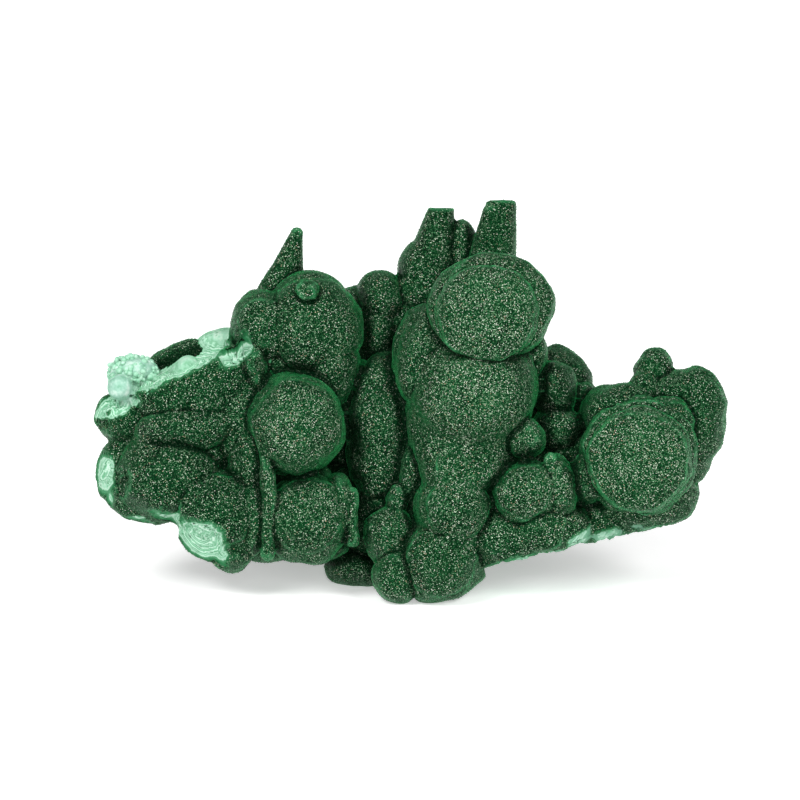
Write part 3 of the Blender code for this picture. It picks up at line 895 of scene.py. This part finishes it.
def druse(mesh, depth, crease, kind):
    """Many small crystals standing on the unbroken skin: their corners, and which tint each has."""
    rng = np.random.default_rng(77)
    places = coordinates(mesh)
    faces = triangles_of(mesh)
    a, b, c = places[faces[:, 0]], places[faces[:, 1]], places[faces[:, 2]]
    normal = np.cross(b - a, c - a)
    area = np.linalg.norm(normal, axis=1) / 2
    normal /= np.maximum(2 * area, 1e-12)[:, None]
    skin = (depth[faces].max(axis=1) < SKIN_DEPTH) & (a[:, 2] > BARE_FOOT)
    skin &= np.isin(kind[faces[:, 0]], BANDED)
    wanted = area * skin * np.clip(1.25 - crease[faces].max(axis=1), 0.1, 1.0)
    wanted *= np.where(normal @ -AWAY > -0.1, 1.35, 0.8)
    pick = rng.choice(len(faces), CRYSTALS, p=wanted / wanted.sum())
    u, v = rng.uniform(size=(2, CRYSTALS))
    flip = u + v > 1
    u[flip], v[flip] = 1 - u[flip], 1 - v[flip]
    foot = a[pick] + (b[pick] - a[pick]) * u[:, None] + (c[pick] - a[pick]) * v[:, None]

    up = normal[pick] + rng.normal(size=(CRYSTALS, 3)) * CRYSTAL_SPREAD
    up /= np.linalg.norm(up, axis=1, keepdims=True)
    side = np.cross(up, rng.normal(size=(CRYSTALS, 3)))
    side /= np.linalg.norm(side, axis=1, keepdims=True)
    other = np.cross(up, side)
    size = rng.lognormal(math.log(CRYSTAL_SIZE), SIZE_SPREAD, CRYSTALS) * MM
    tall = rng.uniform(0.7, 1.3, CRYSTALS)
    points = (
        CORNERS[None, :, 0, None] * side[:, None, :]
        + CORNERS[None, :, 1, None] * other[:, None, :]
        + CORNERS[None, :, 2, None] * up[:, None, :] * tall[:, None, None]
    )
    lift = normal[pick][:, None, :] * (CRYSTAL_LIFT * MM)
    points = foot[:, None, :] + points * size[:, None, None] + lift
    points[:, :, 2] = np.maximum(points[:, :, 2], 0.0)
    shares = np.array([share for _, _, share in DRUSE.values()])
    tint = rng.choice(len(shares), CRYSTALS, p=shares / shares.sum())
    order = np.argsort(foot[:, 0])
    return points[order], tint[order]


def druse_piece(name, points, tint, materials):
    mesh = bpy.data.meshes.new(name)
    count = len(points)
    faces = (SIDES[None] + 4 * np.arange(count)[:, None, None]).reshape(-1, 3)
    mesh.vertices.add(4 * count)
    mesh.vertices.foreach_set("co", points.astype(np.float32).ravel())
    mesh.loops.add(faces.size)
    mesh.loops.foreach_set("vertex_index", faces.astype(np.int32).ravel())
    mesh.polygons.add(len(faces))
    mesh.polygons.foreach_set("loop_start", np.arange(0, faces.size, 3, dtype=np.int32))
    mesh.polygons.foreach_set("material_index", np.repeat(tint, 4).astype(np.int32))
    mesh.update(calc_edges=True)
    for material in materials:
        mesh.materials.append(material)
    return link(name, mesh)


BUDS = 190
BUD_SHELL = (0.93, 1.06)  # how far out in the lump a bud's centre lies
BUD_RADIUS = (0.55, 0.95)
BUD_SHRINK = 0.8  # for a bud that crowds another
BUD_SPACING = 0.62  # of the two radii together


def pale_buds():
    """The cauliflower of small pale buds at the top of the left wing, seated in the lump that carries it."""
    rng = np.random.default_rng(21)
    centre, radii = np.array(REMNANTS["remnant_bloom"][:3]), np.array(REMNANTS["remnant_bloom"][3:6])
    mesh = bpy.data.meshes.new("pale_buds")
    shape = bmesh.new()
    placed = []
    while len(placed) < BUDS:
        way = rng.normal(size=3)
        way /= np.linalg.norm(way)
        spot = centre + way * radii * rng.uniform(*BUD_SHELL)
        size = rng.uniform(*BUD_RADIUS)
        if any(np.linalg.norm(spot - other) < BUD_SPACING * (size + reach) for other, reach in placed):
            size *= BUD_SHRINK
        placed.append((spot, size))
        middle = to_frame(spot[None])[0] * MM
        made = bmesh.ops.create_icosphere(
            shape, subdivisions=2, radius=size * MM, matrix=Matrix.Translation(middle))
        for vertex in made["verts"]:
            vertex.co += (vertex.co - Vector(middle)) * float(rng.uniform(-0.1, 0.1))
    shape.to_mesh(mesh)
    shape.free()
    mesh.shade_smooth()
    n = Nodes("malachite_pale_buds")
    chalk = chalk_colour(n, BUD_CHALK, [
        (0.3, srgb(104, 166, 132)), (0.5, srgb(142, 192, 164)), (0.7, srgb(186, 218, 200))])
    n.join(chalk, n.surface.inputs["Base Color"])
    n.surface.inputs["Roughness"].default_value = 0.45
    mesh.materials.append(n.material)
    return link("malachite_pale_buds", mesh)


# ---- the set ----------------------------------------------------------------------------------------------

FLOOR_HALF = 3.0
FLOOR_GREY, FLOOR_GLOW = 0.82, 0.42  # it glows a little, so that shadows on it stay faint
WORLD_STRENGTH = 0.42
SUNS = {  # bearing (0 is the front, positive to the right) and height in degrees, strength, spread in degrees
    "key": (-42, 46, 2.2, 22),
    "fill": (44, 38, 1.7, 22),
    "front": (4, 22, 0.9, 16),
}
VIEW_WIDTH = 0.200
VIEW_CENTRE = (-3.0, 51.0)  # in the layout
VIEW_DISTANCE = 2000.0


def floor():
    mesh = bpy.data.meshes.new("floor")
    shape = bmesh.new()
    bmesh.ops.create_grid(shape, x_segments=1, y_segments=1, size=FLOOR_HALF)
    shape.to_mesh(mesh)
    shape.free()
    n = Nodes("pale_floor")
    n.surface.inputs["Base Color"].default_value = (FLOOR_GREY, FLOOR_GREY, FLOOR_GREY, 1.0)
    n.surface.inputs["Roughness"].default_value = 0.8
    n.surface.inputs["Emission Color"].default_value = (1.0, 1.0, 1.0, 1.0)
    n.surface.inputs["Emission Strength"].default_value = FLOOR_GLOW
    mesh.materials.append(n.material)
    link("floor", mesh)


def sun(name, turn, height, strength, spread):
    light = bpy.data.lights.new(name, "SUN")
    light.energy = strength
    light.angle = math.radians(spread)
    bearing, climb = math.radians(turn), math.radians(height)
    level = math.cos(climb)
    toward = Vector((math.sin(bearing) * level, -math.cos(bearing) * level, math.sin(climb)))
    lamp = link(name, light)
    lamp.location = toward
    lamp.rotation_euler = (-toward).to_track_quat("-Z", "Y").to_euler()


def light_the_set():
    world = bpy.data.worlds.new("studio")
    world.use_nodes = True
    world.node_tree.nodes["Background"].inputs["Color"].default_value = (1.0, 1.0, 1.0, 1.0)
    world.node_tree.nodes["Background"].inputs["Strength"].default_value = WORLD_STRENGTH
    bpy.context.scene.world = world
    for name, settings in SUNS.items():
        sun(name, *settings)
    bpy.context.scene.view_settings.view_transform = "Standard"


def set_camera():
    """Straight at the display face, so a millimetre is the same everywhere in the picture."""
    camera = bpy.data.cameras.new("camera")
    camera.type = "ORTHO"
    camera.ortho_scale = VIEW_WIDTH
    camera.clip_end = 10.0
    x, z = VIEW_CENTRE
    aim, back = to_frame(np.array([[x, 0.0, z], [x, -VIEW_DISTANCE, z]])) * MM
    view = link("camera", camera)
    view.location = back
    view.rotation_euler = Vector(aim - back).to_track_quat("-Z", "Y").to_euler()
    bpy.context.scene.camera = view


# ---- assembly ---------------------------------------------------------------------------------------------

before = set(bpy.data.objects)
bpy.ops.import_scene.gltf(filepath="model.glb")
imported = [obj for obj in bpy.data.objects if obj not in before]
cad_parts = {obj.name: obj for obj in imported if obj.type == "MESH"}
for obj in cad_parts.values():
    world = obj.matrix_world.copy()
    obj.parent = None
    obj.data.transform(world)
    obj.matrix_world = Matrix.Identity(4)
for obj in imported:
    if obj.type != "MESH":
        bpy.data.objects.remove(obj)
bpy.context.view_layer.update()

mesh = stone_mesh(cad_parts["malachite"])
depth, crease, kind = read_surface(mesh)
for number, part in enumerate(stone_parts(mesh, stone_material()), start=1):
    piece = link("malachite_stone_%d" % number, part)
    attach(piece, "root")
    if number == 1:
        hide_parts("malachite")

points, tint = druse(mesh, depth, crease, kind)
tints = druse_materials()
for number, part in enumerate(np.array_split(np.arange(len(points)), PIECES), start=1):
    piece = druse_piece("druse_%d" % number, points[part], tint[part], tints)
    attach(piece, "root")

buds = pale_buds()
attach(buds, "root")

floor()
light_the_set()
set_camera()
